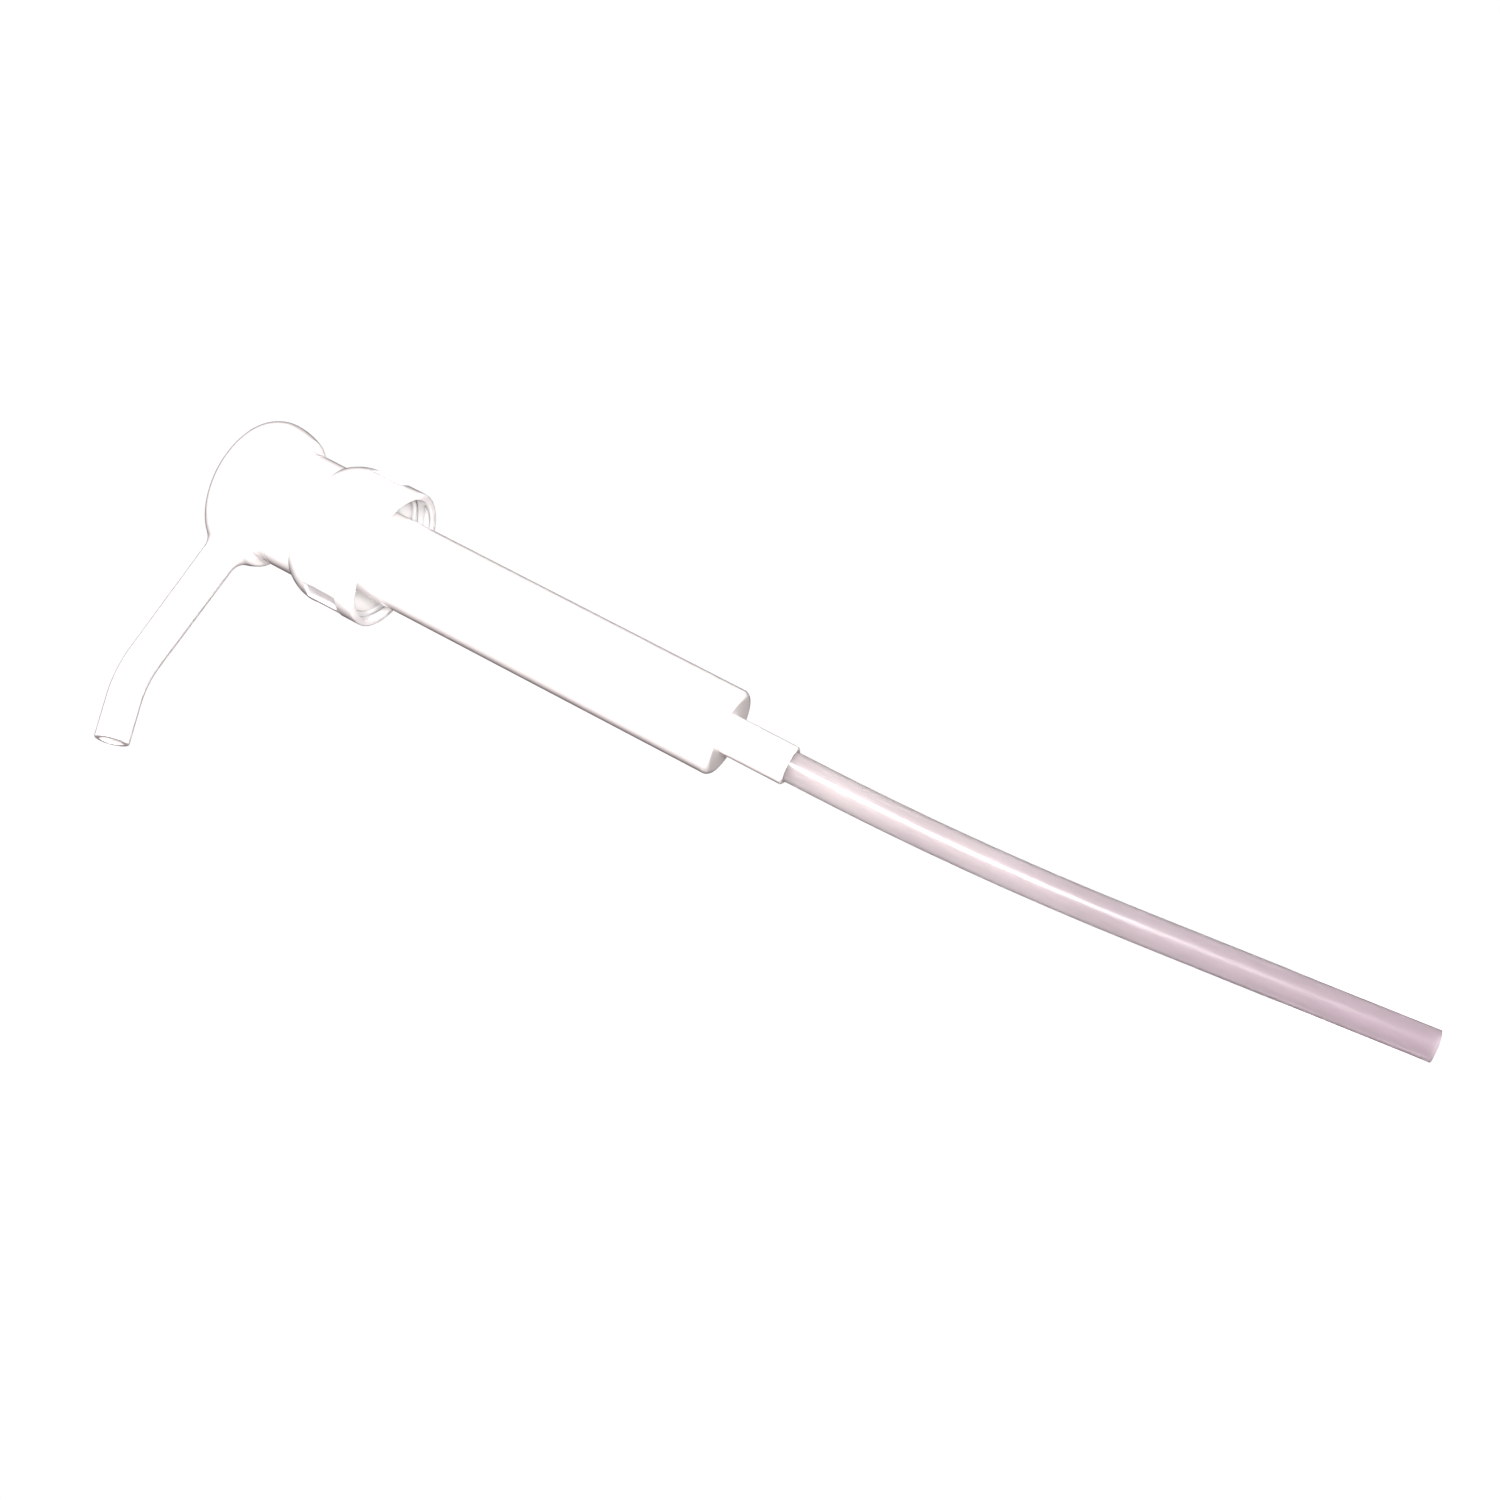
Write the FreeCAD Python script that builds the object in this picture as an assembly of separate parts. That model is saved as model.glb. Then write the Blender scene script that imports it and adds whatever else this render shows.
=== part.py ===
import FreeCAD, Part
import math
import os

from FreeCAD import Vector

# Hand plunger pump that screws onto the neck of a gear-oil jug. Millimetres, +Z up along the
# pump's axis, origin at the middle of the gasket's underside, which rests on the bottle's rim.
# The spout points along -X. The head is down, on top of its lock collar.

# Closure: the fluted screw cap, for a 38-400 bottle neck
neck_thread_major = 37.4     # over the bottle's thread
neck_thread_depth = 1.2
neck_thread_pitch = 25.4 / 6
neck_fit = 0.35              # radial play of the cap on the bottle's neck
closure_wall = 2.1
closure_skirt = 11.5         # how far the cap reaches below the bottle's rim
closure_crown = 12.35        # how far it reaches above the rim
closure_band = 6.05          # plain band at the open end
closure_flutes = 15
flute_depth = 0.85
flute_height = 10.15
flute_span = 18.0            # degrees that one flute covers
shoulder_radius = 13.3       # curve of the shoulder's section
closure_lip = 0.45           # flat edge round the cap's top hole
thread_turns = 1.3
thread_base = 2.1            # width of the thread's ridge at its root
thread_tip = 0.9             # and at its crest
thread_start = 1.7           # middle of the ridge's start above the open end
thread_sink = 0.3            # how far its root reaches into the cap's wall

# Gasket between the barrel's flange and the bottle's rim
gasket_thickness = 1.2
gasket_play = 0.55           # between its edge and the cap's wall

# Barrel: the pump's cylinder, its flange and the neck that holds the dip tube
barrel_bore = 22.8
barrel_wall = 1.5
barrel_bottom = 123.6        # from the bottle's rim down to the barrel's end face
barrel_floor = 1.6
barrel_end_round = 2.0
flange_play = 0.75           # between the flanges' edges and the cap's wall
flange_thickness = 2.0
snap_depth = 1.7             # ring above the flange that the lock collar snaps over
snap_height = 5.8
vent_diameter = 1.6
vent_below_rim = 4.0
nozzle_wall = 1.23           # neck at the barrel's lower end
nozzle_length = 19.4
nozzle_rim = 0.5             # chamfer on its end

# Dip tube: leaves the barrel straight, then leans away from the spout
tube_outer = 9.0
tube_wall = 1.05
tube_end = 326.5             # below the bottle's rim, measured down the axis
tube_socket = 16.0           # how much of the tube is inside the nozzle
tube_lead = 5.0              # straight stretch below the nozzle
tube_bend_radius = 990.0
tube_lean = 5.7              # degrees

# Inlet valve in the barrel's floor
inlet_bore = 6.0
inlet_ball_diameter = 8.0
inlet_ball_lift = 3.0
valve_seat_depth = 1.4
cage_play = 0.7              # round the ball
cage_wall = 1.7
cage_top = 1.3
cage_window = 4.2
cage_windows = 3

# Stem, and the piston on it
stem_outer = 12.0
stem_wall = 2.0
stroke = 72.0
piston_length = 12.0
piston_lip = 2.2             # height of each sealing lip
piston_lip_reach = 1.15      # how far the lips stand out from the piston's waist
piston_land = 0.4            # step at each end of the piston
piston_slope = 1.0           # length of the slope behind each lip
holder_shoulder = 0.25       # the holder is wider than the stem by this, on each side
holder_bore = 4.6
holder_hook = 0.7            # flange under the spring seat, on each side
holder_hook_height = 1.7
spigot_skin = 1.0            # stem wall left round the holder's spigot
spigot_length = 9.3
shoulder_reach = 3.0         # stem shoulder on top of the piston, on each side
shoulder_height = 2.0
stop_reach = 2.5             # bead that ends the upstroke, on each side
stop_height = 1.8
outlet_ball_diameter = 6.6
outlet_ball_lift = 3.0
outlet_play = 0.45           # round the ball
ball_fins = 4
ball_fin_gap = 2.0           # radius left open between the fins' tips
ball_fin_width = 1.2
ball_fin_height = 4.0

# Spring under the piston, pressed short while the head is down
spring_wire = 1.4
spring_play = 0.9            # between the coils and the barrel's bore
spring_turns = 12.5
spring_rest = 22.0
spring_seat_play = 0.6       # between its edge and the barrel's bore
spring_seat_height = 2.0
spring_seat_round = 0.5

# Lock collar on top of the barrel
collar_skirt = 2.93          # wall round the barrel's snap ring
collar_top = 22.0            # above the bottle's rim
collar_wall = 2.0            # wall of the cup above the web
collar_edge_round = 0.4
collar_flange_height = 2.0
collar_web = 2.55            # wall that guides the stem
lock_ledge_height = 2.0
lock_ledge_reach = 1.4
lock_ledge_span = 96.0       # degrees
lock_ledge_below_top = 1.0
lock_lug_height = 2.4
lock_lug_span = 50.0         # degrees
lock_play = 0.5
weld = 0.5                   # how far a rib or lug is sunk into the wall that carries it

# Wiper seal that closes round the stem
wiper_thickness = 1.6
wiper_inset = 0.6            # its edge inside the edge of the snap ring
wiper_lip = 1.3              # how far its lip stands up
wiper_lip_wall = 1.0

# Head: mushroom-shaped push button with the spout
skirt_inset = 0.05           # the skirt's edge inside the collar's
head_under = 27.0            # underside of the bulb, above the bottle's rim
head_under_edge = 20.2       # radius at which the underside turns up
head_widest = 34.7
head_diameter = 44.1
head_top = 47.1
head_knuckle = 8.6           # radius between the bulb's side and its crown
head_edge_round = 1.2
head_skirt_wall = 2.0
head_core_roof = 41.0
plug_wall = 1.8
plug_bottom = 14.3
stem_socket_wall = 2.2
stem_socket_depth = 18.5
spout_height = 34.1          # where the spout's axis meets the pump's axis
spout_rise = 3.0             # degrees above level
spout_drop = 18.6            # degrees below level after its bend
spout_outer = 10.0
spout_root = 0.7             # the spout is thicker by this where it leaves the head
spout_wall = 1.5
spout_to_bend = 59.5
spout_bend_radius = 36.0
spout_reach = 84.9
spout_fillet = 5.0
spout_edge_round = 0.5

# Clearances
turn_gap = 0.3               # between the closure and the fixed pieces inside it
rest_gap = 0.35              # between the head's skirt and the collar
slide_fit = 0.05             # radial, for what slides or turns in a bore
press_fit = 0.02             # radial, for what is pushed in and stays
ball_gap = 0.02              # between a ball and its seat

AXIS = Vector(0, 0, 1)
ORIGIN = Vector(0, 0, 0)


class Outline:
    """A closed half-section of a turned piece, drawn edge by edge as (radius, height)."""

    def __init__(self, radius, height):
        self.start = self.here = Vector(radius, 0, height)
        self.edges = []

    def to(self, radius, height):
        """A straight edge."""
        end = Vector(radius, 0, height)
        self.edges.append(Part.LineSegment(self.here, end).toShape())
        self.here = end
        return self

    def around(self, centre_radius, centre_height, radius, height):
        """An arc about a centre, to an end point."""
        centre = Vector(centre_radius, 0, centre_height)
        end = Vector(radius, 0, height)
        middle = (self.here - centre) + (end - centre)
        middle.normalize()
        through = centre + middle * (self.here - centre).Length
        self.edges.append(Part.Arc(self.here, through, end).toShape())
        self.here = end
        return self

    def dome(self, knuckle, top):
        """Two arcs from here, where it is upright, to the axis: a knuckle and a flatter crown."""
        rise = top - self.here.z
        inset = self.here.x - knuckle
        crown = (inset**2 + rise**2 - knuckle**2) / (2 * (rise - knuckle))
        knuckle_centre = Vector(inset, 0, self.here.z)
        crown_centre = Vector(0, 0, top - crown)
        outward = (knuckle_centre - crown_centre).normalize()
        meet = knuckle_centre + outward * knuckle
        self.around(inset, self.here.z, meet.x, meet.z)
        return self.around(0, top - crown, 0, top)

    def turned(self, degrees=360.0):
        """The outline closed and turned about the pump's axis."""
        self.to(self.start.x, self.start.z)
        return Part.Face(Part.Wire(self.edges)).revolve(ORIGIN, AXIS, degrees)


def ring(inner, outer, low, high, degrees=360.0):
    """A ring, or part of one, of rectangular section between two radii and two heights."""
    return Outline(inner, low).to(outer, low).to(outer, high).to(inner, high).turned(degrees)


def rod(radius, low, high):
    """A cylinder on the pump's axis between two heights."""
    return Part.makeCylinder(radius, high - low, Vector(0, 0, low))


def placed_round(shape, count, first=0.0):
    """Copies of a shape spaced evenly about the pump's axis."""
    step = 360.0 / count
    return [shape.rotated(ORIGIN, AXIS, first + step * i) for i in range(count)]


def circles_of(shape):
    """The circular edges of a shape."""
    real = [edge for edge in shape.Edges if not edge.Degenerated]
    return [edge for edge in real if isinstance(edge.Curve, Part.Circle)]


def rim(shape, radius, height):
    """The circular edges of the given radius and height about the pump's axis."""
    return [edge for edge in circles_of(shape) if abs(edge.Curve.Radius - radius) < 0.01
            and abs(edge.Curve.Center.z - height) < 0.01]


def rounded(shape, size, radius, height):
    """A fillet on the circular edge of the given radius and height."""
    return shape.makeFillet(size, rim(shape, radius, height))


def chamfered(shape, size, radius, height):
    """A chamfer on the circular edge of the given radius and height."""
    return shape.makeChamfer(size, rim(shape, radius, height))


# Radii that several pieces share
cap_bore = neck_thread_major / 2 + neck_fit
cap_outer = cap_bore + closure_wall
flange_radius = cap_bore - flange_play
cylinder = barrel_bore / 2
barrel_outer = cylinder + barrel_wall
snap_outer = barrel_outer + snap_depth
nozzle_outer = tube_outer / 2 + press_fit + nozzle_wall
tube_bore = tube_outer / 2 - tube_wall
stem_radius = stem_outer / 2
stem_bore = stem_radius - stem_wall
stem_hole = stem_radius + slide_fit
holder_outer = stem_radius + holder_shoulder
spigot_socket = stem_radius - spigot_skin
piston_hole = holder_outer + slide_fit
spring_mean = cylinder - spring_play - spring_wire / 2
spout_bore = spout_outer / 2 - spout_wall
collar_socket = snap_outer + press_fit
collar_outer = collar_socket + collar_skirt
collar_cup = collar_outer - collar_wall
ledge_inner = collar_cup - lock_ledge_reach
plug_outer = ledge_inner - lock_play
lug_outer = collar_cup - lock_play
skirt_outer = collar_outer - skirt_inset

# Heights that several pieces share
rim_z = -closure_skirt
flange_bottom = gasket_thickness
flange_top = flange_bottom + flange_thickness
collar_flange_top = flange_top + collar_flange_height
snap_top = flange_top + snap_height
floor_z = barrel_floor - barrel_bottom
seat_low = floor_z - valve_seat_depth
nozzle_end = -barrel_bottom - nozzle_length
tube_top = nozzle_end + tube_socket
spring_top = floor_z + spring_rest
seat_top = spring_top + spring_seat_height
piston_top = seat_top + piston_length
stem_end = piston_top + turn_gap
spigot_top = stem_end + spigot_length
wiper_bottom = snap_top + press_fit
wiper_top = wiper_bottom + wiper_thickness
web_top = wiper_top + collar_web
ledge_bottom = collar_top - lock_ledge_below_top - lock_ledge_height
lug_top = ledge_bottom - lock_play
skirt_bottom = collar_top + rest_gap
stem_top = plug_bottom + stem_socket_depth
stop_top = wiper_bottom - stroke - turn_gap


def seated_ball_centre(hole_radius, ball_radius, cone_bottom):
    """Height of a ball's centre on a 45 degree seat that opens upwards from a hole."""
    return cone_bottom - hole_radius + (ball_radius + ball_gap) * math.sqrt(2)


def closure():
    """Fluted screw cap with a domed shoulder, a top hole and one thread inside."""
    hole = collar_outer + turn_gap
    ledge = collar_flange_top + turn_gap
    flute_low = rim_z + closure_band
    flute_high = flute_low + flute_height
    edge = hole + closure_lip
    centre = cap_outer - shoulder_radius
    shoulder = closure_crown - math.sqrt(shoulder_radius**2 - (edge - centre)**2)
    shell = (Outline(cap_bore, rim_z).to(cap_outer, rim_z).to(cap_outer, shoulder)
             .around(centre, shoulder, edge, closure_crown).to(hole, closure_crown)
             .to(hole, ledge).to(cap_bore, ledge).turned())
    shell = rounded(shell, 0.6, cap_outer, rim_z)
    shell = rounded(shell, 0.3, cap_bore, rim_z)
    floor = cap_outer - flute_depth
    past = cap_outer + 1.0
    pocket = (Outline(floor, flute_low + flute_depth).to(past, flute_low - 1.0)
              .to(past, flute_high + 1.0).to(floor, flute_high + 1.0).turned(flute_span))
    for flute in placed_round(pocket, closure_flutes, -flute_span / 2):
        shell = shell.cut(flute)
    return shell.fuse(closure_thread()).removeSplitter()


def closure_thread():
    """The ridge that engages the bottle's thread, on a helix inside the cap."""
    crest = cap_bore - neck_thread_depth
    root = cap_bore + thread_sink
    start = rim_z + thread_start
    helix = Part.makeHelix(neck_thread_pitch, neck_thread_pitch * thread_turns, cap_bore)
    helix.translate(Vector(0, 0, start))
    flank = (thread_base - thread_tip) / 2
    wide = thread_base / 2 + flank * thread_sink / neck_thread_depth
    narrow = thread_tip / 2
    corners = [Vector(root, 0, start - wide), Vector(crest, 0, start - narrow),
               Vector(crest, 0, start + narrow), Vector(root, 0, start + wide)]
    section = Part.makePolygon(corners + corners[:1])
    return Part.Wire(helix.Edges).makePipeShell([section], True, True)


def neck_gasket():
    """Flat sealing ring under the barrel's flange."""
    return ring(barrel_outer + press_fit, cap_bore - gasket_play, 0, gasket_thickness)


def barrel():
    """Pump cylinder with its flange, snap ring, vent, inlet seat and tube nozzle."""
    hole = inlet_bore / 2
    socket = tube_outer / 2 + press_fit
    body = (Outline(hole, seat_low).to(hole + valve_seat_depth, floor_z).to(cylinder, floor_z)
            .to(cylinder, snap_top).to(snap_outer, snap_top).to(snap_outer, flange_top)
            .to(flange_radius, flange_top).to(flange_radius, flange_bottom)
            .to(barrel_outer, flange_bottom).to(barrel_outer, -barrel_bottom)
            .to(nozzle_outer, -barrel_bottom).to(nozzle_outer, nozzle_end)
            .to(socket, nozzle_end).to(socket, tube_top).to(hole, tube_top).turned())
    body = rounded(body, barrel_end_round, barrel_outer, -barrel_bottom)
    body = chamfered(body, nozzle_rim, nozzle_outer, nozzle_end)
    vent_centre = Vector(0, 0, -vent_below_rim)
    vent = Part.makeCylinder(vent_diameter / 2, barrel_outer + 1.0, vent_centre, Vector(0, 1, 0))
    return body.cut(vent)


def swept_tube(radius):
    """A round bar along the dip tube's route."""
    lean = math.radians(tube_lean)
    bend_top = nozzle_end - tube_lead
    bend_low = bend_top - tube_bend_radius * math.sin(lean)
    pivot = Vector(tube_bend_radius, 0, bend_top)
    disc = Part.Face(Part.Wire(Part.makeCircle(radius, Vector(0, 0, bend_top), AXIS)))
    bend = disc.revolve(pivot, Vector(0, -1, 0), tube_lean)
    tail_start = Vector(tube_bend_radius * (1 - math.cos(lean)), 0, bend_low)
    along = Vector(math.sin(lean), 0, -math.cos(lean))
    tail = Part.makeCylinder(radius, (tube_end + bend_low) / math.cos(lean), tail_start, along)
    return rod(radius, bend_top, tube_top).fuse([bend, tail])


def dip_tube():
    """Tube that reaches to the bottom of the jug."""
    return swept_tube(tube_outer / 2).cut(swept_tube(tube_bore)).removeSplitter()


def inlet_ball_centre():
    """Height of the inlet ball's centre on its seat."""
    return seated_ball_centre(inlet_bore / 2, inlet_ball_diameter / 2, seat_low)


def inlet_ball():
    """Lower check ball, on the seat in the barrel's floor."""
    return Part.makeSphere(inlet_ball_diameter / 2, Vector(0, 0, inlet_ball_centre()))


def inlet_ball_cage():
    """Cage that keeps the lower ball over its seat, with windows for the oil."""
    ball = inlet_ball_diameter / 2
    roof = inlet_ball_centre() + ball + inlet_ball_lift + turn_gap
    inner = ball + cage_play
    outer = inner + cage_wall
    cage = ring(inner, outer, floor_z, roof).fuse(ring(ball / 2, outer, roof, roof + cage_top))
    window_low = floor_z + cage_top
    window = Part.makeBox(outer, cage_window, roof - cage_top - window_low,
                          Vector(0, -cage_window / 2, window_low))
    cage = cage.removeSplitter()
    for opening in placed_round(window, cage_windows):
        cage = cage.cut(opening)
    return cage


def spring():
    """Coil spring between the barrel's floor and the spring seat."""
    wire = spring_wire / 2
    height = spring_rest - spring_wire - 2 * press_fit
    helix = Part.makeHelix(height / spring_turns, height, spring_mean)
    section = Part.Wire(Part.makeCircle(wire, Vector(spring_mean, 0, 0), Vector(0, 1, 0)))
    coil = Part.Wire(helix.Edges).makePipeShell([section], True, True)
    coil.translate(Vector(0, 0, floor_z + wire + press_fit))
    return coil


def spring_seat():
    """Washer that carries the spring's push to the piston."""
    outer = cylinder - spring_seat_play
    seat = ring(piston_hole, outer, spring_top, seat_top)
    return rounded(seat, spring_seat_round, outer, spring_top)


def piston_cup():
    """Piston with an upper and a lower lip that wipe the barrel's bore."""
    lip = cylinder - slide_fit
    waist = lip - piston_lip_reach
    face = (piston_hole + waist) / 2
    low = seat_top + piston_land
    high = piston_top - piston_land
    return (Outline(piston_hole, seat_top).to(face, seat_top).to(waist, low).to(lip, low)
            .to(lip, low + piston_lip).to(waist, low + piston_lip + piston_slope)
            .to(waist, high - piston_lip - piston_slope).to(lip, high - piston_lip)
            .to(lip, high).to(waist, high).to(face, piston_top)
            .to(piston_hole, piston_top).turned())


def outlet_seat_low():
    """Height of the bottom of the outlet seat, so that the ball's lift ends at the fins."""
    ball = outlet_ball_diameter / 2
    centre = spigot_top - turn_gap - outlet_ball_lift - ball
    return centre + holder_bore / 2 - (ball + ball_gap) * math.sqrt(2)


def piston_holder():
    """Valve body through the piston, pushed into the stem's lower end."""
    hook_top = spring_top - turn_gap
    low = hook_top - holder_hook_height
    seat = outlet_seat_low()
    hole = holder_bore / 2
    chamber = outlet_ball_diameter / 2 + outlet_play
    spigot = spigot_socket - press_fit
    return (Outline(hole, low).to(holder_outer + holder_hook, low)
            .to(holder_outer + holder_hook, hook_top).to(holder_outer, hook_top)
            .to(holder_outer, stem_end).to(spigot, stem_end).to(spigot, spigot_top)
            .to(chamber, spigot_top).to(chamber, seat + chamber - hole).to(hole, seat).turned())


def outlet_ball():
    """Upper check ball, on the seat in the piston holder."""
    ball = outlet_ball_diameter / 2
    centre = seated_ball_centre(holder_bore / 2, ball, outlet_seat_low())
    return Part.makeSphere(ball, Vector(0, 0, centre))


def stem():
    """Hollow rod from the piston to the head, with a shoulder, a stop bead and ball fins."""
    shoulder = stem_radius + shoulder_reach
    shoulder_top = stem_end + shoulder_height
    bead = stem_radius + stop_reach
    bead_low = stop_top - stop_height
    tube = (Outline(spigot_socket, stem_end).to(shoulder, stem_end).to(shoulder, shoulder_top)
            .to(stem_radius, shoulder_top).to(stem_radius, bead_low).to(bead, bead_low)
            .to(bead, stop_top).to(stem_radius, stop_top).to(stem_radius, stem_top)
            .to(stem_bore, stem_top).to(stem_bore, spigot_top)
            .to(spigot_socket, spigot_top).turned())
    fin = Part.makeBox(stem_bore + weld - ball_fin_gap, ball_fin_width, ball_fin_height,
                       Vector(ball_fin_gap, -ball_fin_width / 2, spigot_top))
    return tube.fuse(placed_round(fin, ball_fins)).removeSplitter()


def lock_collar():
    """Collar snapped onto the barrel: guides the stem and holds the head down when locked."""
    seal = stem_hole + wiper_lip_wall + press_fit
    seal_top = wiper_top + wiper_lip + press_fit
    wiper_roof = wiper_top + press_fit
    collar = (Outline(collar_socket, flange_top).to(flange_radius, flange_top)
              .to(flange_radius, collar_flange_top).to(collar_outer, collar_flange_top)
              .to(collar_outer, collar_top).to(collar_cup, collar_top).to(collar_cup, web_top)
              .to(stem_hole, web_top).to(stem_hole, seal_top).to(seal, seal_top)
              .to(seal, wiper_roof).to(collar_socket, wiper_roof).turned())
    collar = rounded(collar, collar_edge_round, collar_outer, collar_top)
    ledge = ring(ledge_inner, collar_cup + weld, ledge_bottom,
                 ledge_bottom + lock_ledge_height, lock_ledge_span)
    ledges = placed_round(ledge, 2, 90 - lock_ledge_span / 2)
    return collar.fuse(ledges).removeSplitter()


def stem_wiper():
    """Soft ring clamped under the collar's web, with a lip round the stem."""
    outer = snap_outer - wiper_inset
    lip = stem_hole + wiper_lip_wall
    lip_top = wiper_top + wiper_lip
    return (Outline(stem_hole, wiper_bottom).to(outer, wiper_bottom).to(outer, wiper_top)
            .to(lip, wiper_top).to(lip, lip_top).to(stem_hole, lip_top).turned())


class SpoutRoute:
    """The spout's axis: a rising run, one bend and a falling run."""

    def __init__(self):
        rise = math.radians(spout_rise)
        drop = math.radians(spout_drop)
        self.root = Vector(0, 0, spout_height)
        self.first = Vector(-math.cos(rise), 0, math.sin(rise))
        self.last = Vector(-math.cos(drop), 0, -math.sin(drop))
        self.bend_start = self.root + self.first * spout_to_bend
        below_start = Vector(-math.sin(rise), 0, -math.cos(rise))
        below_end = Vector(math.sin(drop), 0, -math.cos(drop))
        self.pivot = self.bend_start + below_start * spout_bend_radius
        self.bend_end = self.pivot - below_end * spout_bend_radius
        self.tail = (spout_reach + self.bend_end.x) / math.cos(drop)
        self.tip = self.bend_end + self.last * self.tail

    def bar(self, start_radius, radius, start):
        """A solid bar along the route, from a distance along the first run to the tip."""
        base = self.root + self.first * start
        run = spout_to_bend - start
        if start_radius == radius:
            first = Part.makeCylinder(radius, run, base, self.first)
        else:
            first = Part.makeCone(start_radius, radius, run, base, self.first)
        circle = Part.Wire(Part.makeCircle(radius, self.bend_start, self.first))
        turn = Part.Face(circle).revolve(self.pivot, Vector(0, -1, 0), spout_rise + spout_drop)
        last = Part.makeCylinder(radius, self.tail, self.bend_end, self.last)
        return first.fuse([turn, last])


def spout_tip_rim(shape, route):
    """The outer circular edge at the spout's tip."""
    return [edge for edge in circles_of(shape) if (edge.Curve.Center - route.tip).Length < 0.01
            and abs(edge.Curve.Radius - spout_outer / 2) < 0.01]


def spout_root_rim(shape):
    """The edges where the spout leaves the bulb."""
    found = []
    for edge in shape.Edges:
        box = edge.BoundBox
        on_spout_side = box.XMax < 0 and box.XMin > -head_diameter / 2 - 1.0
        if on_spout_side and box.ZMin > head_under + 1.0 and box.YLength > spout_outer / 2:
            found.append(edge)
    return found


def head_outside(route):
    """The head's outer shape: skirt, bulb and spout, with the corners between them rounded."""
    widest = head_diameter / 2
    rise = head_widest - head_under
    inset = widest - head_under_edge
    swell = (rise**2 + inset**2) / (2 * inset)
    bulb = (Outline(0, skirt_bottom).to(skirt_outer, skirt_bottom).to(skirt_outer, head_under)
            .to(head_under_edge, head_under)
            .around(widest - swell, head_widest, widest, head_widest)
            .dome(head_knuckle, head_top).turned())
    bulb = rounded(bulb, head_edge_round, head_under_edge, head_under)
    spout = route.bar(spout_outer / 2 + spout_root / 2, spout_outer / 2, plug_outer / 2)
    outside = bulb.fuse(spout).removeSplitter()
    outside = outside.makeFillet(spout_fillet, spout_root_rim(outside))
    return outside.makeFillet(spout_edge_round, spout_tip_rim(outside, route))


def pump_head():
    """Push head with its skirt, lock plug, stem socket and spout, in one moulding."""
    route = SpoutRoute()
    plug_inner = plug_outer - plug_wall
    socket_outer = stem_radius + stem_socket_wall
    groove_top = head_under - head_skirt_wall / 2
    head = head_outside(route)
    head = head.fuse(rod(plug_outer, plug_bottom, skirt_bottom + weld)).removeSplitter()
    head = head.cut(ring(plug_outer, skirt_outer - head_skirt_wall, skirt_bottom - 1.0, groove_top))
    head = head.cut(ring(socket_outer, plug_inner, plug_bottom - 1.0, head_core_roof))
    duct = Part.makeCylinder(spout_outer / 2, plug_inner + weld, route.root, route.first)
    head = head.fuse(duct).removeSplitter()
    head = head.cut(rod(stem_radius, plug_bottom - 1.0, stem_top))
    head = head.cut(rod(stem_bore, stem_top - 1.0, spout_height + spout_bore))
    head = head.cut(route.bar(spout_bore, spout_bore, 0.0))
    lug = ring(plug_outer - weld, lug_outer, lug_top - lock_lug_height, lug_top, lock_lug_span)
    return head.fuse(placed_round(lug, 2, -lock_lug_span / 2)).removeSplitter()


PIECES = (pump_head, stem, piston_holder, outlet_ball, piston_cup, spring_seat, spring,
          inlet_ball, inlet_ball_cage, barrel, lock_collar, stem_wiper, neck_gasket, closure,
          dip_tube)

os.makedirs("parts", exist_ok=True)
for piece in PIECES:
    solid = piece()
    if solid.ShapeType == "Compound" and len(solid.Solids) == 1:
        solid = solid.Solids[0]
    box = solid.BoundBox
    print(f"{piece.__name__:16} solids {len(solid.Solids)} valid {solid.isValid()} "
          f"volume {solid.Volume:9.1f} z {box.ZMin:8.2f} to {box.ZMax:7.2f}")
    solid.exportStep(f"parts/{piece.__name__}.step")
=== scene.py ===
import logging
import math
from collections.abc import Sequence
from dataclasses import dataclass, field
from enum import Enum
from typing import TypeAlias

import bmesh
import bpy
from mathutils import Matrix, Vector, noise


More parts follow.
